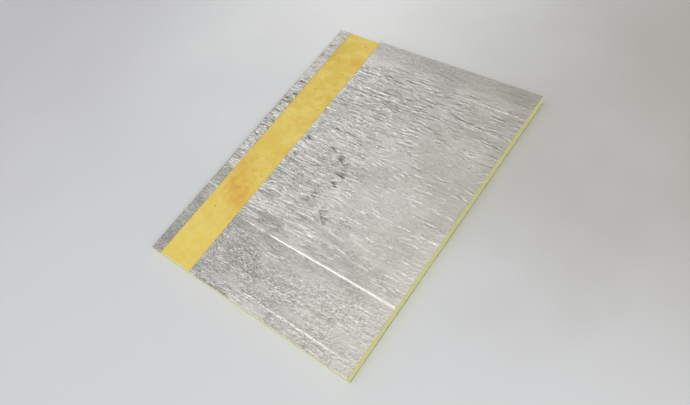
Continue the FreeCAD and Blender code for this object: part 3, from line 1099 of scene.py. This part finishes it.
def fibre_material():
    """Pale yellow glass fibres with a slight sheen."""
    material, nodes, shader = new_material("glass_fibre_pale")
    plain = nodes.coordinates((1, 1, 1))
    across, along, _ = nodes.split(plain)
    tone = nodes.ramp(nodes.noise(plain, 90.0, 2.0, 0.5), 0.35, 0.65)
    colour = nodes.mix(tone, linear(232, 206, 112), linear(240, 226, 160))
    # Paler on the cut faces: partly the cut fibres' own colour, partly painted light
    by_edge, by_end = on_cut_faces(nodes, across, along, 1.0, 1.0)
    colour = nodes.mix(nodes.math("MAXIMUM", by_edge, by_end), colour, linear(234, 236, 188))
    nodes.feed(shader, {"Base Color": colour, "Roughness": 0.5})
    return material


# Stage


FLOOR_HALF = 6.0
# Centres of a painted pool of light past the far end and of painted shade to the right of the board
PAINTED_LIGHT_PATCH = (-0.40, 0.65, 0.0)
PAINTED_SHADE_PATCH = (0.80, 0.60, 0.0)


def make_floor():
    """Pale floor with painted light and shade: darker and cooler to the left, a painted pool of light
    past the far end, and warmer painted shade to the right.
    """
    material, nodes, shader = new_material("studio_floor")
    here = nodes.add("ShaderNodeTexCoord").outputs["Object"]
    across, _, _ = nodes.split(here)
    shift = nodes.ramp(nodes.noise(here, 2.0, 3.0, 0.5), 0.3, 0.7, -0.12, 0.12)
    # Painted shade, darker and cooler, to the left
    left_side = nodes.ramp(nodes.plus(across, shift), -0.5, -1.4)
    from_painted_light = nodes.plus(nodes.between("DISTANCE", here, PAINTED_LIGHT_PATCH), shift)
    from_painted_shade = nodes.plus(nodes.between("DISTANCE", here, PAINTED_SHADE_PATCH), shift)
    layers = [
        (nodes.ramp(from_painted_light, 0.85, 0.10), linear(240, 242, 246)),
        (nodes.ramp(from_painted_shade, 1.15, 0.15), linear(187, 185, 183)),
    ]
    colour = nodes.layered(nodes.mix(left_side, linear(220, 223, 229), linear(209, 210, 218)), layers)
    nodes.feed(shader, {"Base Color": colour, "Roughness": 0.7, "Specular IOR Level": 0.2})
    mesh = bpy.data.meshes.new("studio_floor")
    corners = [(x * FLOOR_HALF, y * FLOOR_HALF, 0) for x, y in ((-1, -1), (1, -1), (1, 1), (-1, 1))]
    mesh.from_pydata(corners, [], [(0, 1, 2, 3)])
    mesh.materials.append(material)
    floor = add_object("studio_floor", mesh)


def add_softbox(name, place, aim, size, watts, colour):
    """A square lamp at a place, turned to an aim point and not seen itself."""
    lamp = bpy.data.lights.new(name, "AREA")
    lamp.shape = "SQUARE"
    lamp.size = size
    lamp.energy = watts
    lamp.color = colour
    holder = add_object(name, lamp)
    place, aim = Vector(place), Vector(aim)
    turn = (aim - place).to_track_quat("-Z", "Y").to_matrix().to_4x4()
    holder.matrix_world = Matrix.Translation(place) @ turn
    holder.visible_camera = False


def direction(azimuth, elevation):
    """Unit vector; azimuth in degrees from +X towards +Y, elevation above the floor."""
    a, e = math.radians(azimuth), math.radians(elevation)
    return Vector((math.cos(a) * math.cos(e), math.sin(a) * math.cos(e), math.sin(e)))


# Soft panels in the sky: (azimuth, elevation), inner and outer half angle, added strength
SKY_PANELS = [
    ((153, 42), 8, 22, 0.84),
    ((178, 46), 7, 26, -0.53),
    ((164, 56), 5, 18, -0.36),
    ((142, 57), 5, 18, -0.18),
    ((166, 72), 5, 18, 0.68),
    ((112, 50), 5, 17, 0.19),
    ((115, 18), 8, 34, -0.13),
    ((212, 48), 11, 21, 1.30),
    ((165, 8), 6, 18, 0.30),
    ((105, 2), 20, 45, -0.25),
]
DARKEST_SKY = 0.15
# Name, place, size, watts, colour
LAMPS = [
    ("camera_side_softbox", (3.8, -2.2, 4.0), 3.0, 150.0, (1.0, 0.995, 0.985)),
    ("left_softbox", (-4.8, -1.4, 1.5), 2.0, 26.0, (0.98, 0.99, 1.0)),
]


def make_light():
    """Tent-like light: a sky that brightens overhead, soft panels in it and two lamps."""
    world = bpy.data.worlds.new("studio")
    bpy.context.scene.world = world
    world.use_nodes = True
    nodes = Nodes(world.node_tree)
    background = world.node_tree.nodes["Background"]
    towards = nodes.add("ShaderNodeTexCoord").outputs["Generated"]
    to_right, _, upwards = nodes.split(towards)
    level = nodes.ramp(upwards, 0.45, 1.05, 0.30, 0.69)
    level = nodes.plus(level, nodes.ramp(upwards, 0.32, 0.10, 0.0, 0.30))
    for centre, inner, outer, strength in SKY_PANELS:
        nearness = nodes.between("DOT_PRODUCT", towards, direction(*centre))
        low, high = (math.cos(math.radians(a)) for a in (outer, inner))
        level = nodes.plus(level, nodes.ramp(nearness, low, high, 0.0, strength))
    level = nodes.math("MAXIMUM", level, DARKEST_SKY)
    high_up = nodes.ramp(upwards, 0.20, 0.45)
    warm = nodes.times(nodes.ramp(to_right, -0.62, -0.25), high_up)
    tint = nodes.mix(warm, (1.0, 1.0, 1.0, 1), (1.0, 0.965, 0.885, 1))
    nodes.feed(background, {"Color": tint, "Strength": level})
    for name, place, size, watts, colour in LAMPS:
        add_softbox(name, place, (0.0, 0.0, 0.0), size, watts, colour)


# The camera's place from the middle of the face's far end, in board widths: across, along, up
CAMERA_FROM_FAR_END = (1.2696, -1.5119, 1.9371)
# Its turn in degrees: to the left of the board's length, back from looking down, and its roll
CAMERA_HEADING, CAMERA_TILT, CAMERA_ROLL = 57.321, 35.838, -24.749
LENS, SENSOR = 33.16, 36.0


def make_camera():
    """Camera that sees the board's face as the photograph does."""
    camera = bpy.data.cameras.new("camera")
    camera.sensor_width = SENSOR
    camera.lens = LENS
    holder = add_object("camera", camera)
    across, along, above = (WIDTH * step for step in CAMERA_FROM_FAR_END)
    place = Vector((across, FAR_END + along, FOIL_TOP + above))
    heading = Matrix.Rotation(math.radians(CAMERA_HEADING), 4, "Z")
    tilt = Matrix.Rotation(math.radians(CAMERA_TILT), 4, "X")
    roll = Matrix.Rotation(math.radians(CAMERA_ROLL), 4, "Z")
    holder.matrix_world = Matrix.Translation(place) @ heading @ tilt @ roll
    bpy.context.scene.camera = holder


make_camera()
make_face_foil(foil_material("face_foil_bright", **FACE_LOOK))
make_back_foil(foil_material("back_foil_bright", **BACK_LOOK))
make_wool(wool_material())
make_fibres(fibre_material())
make_floor()
make_light()
bpy.context.scene.view_settings.view_transform = "Standard"
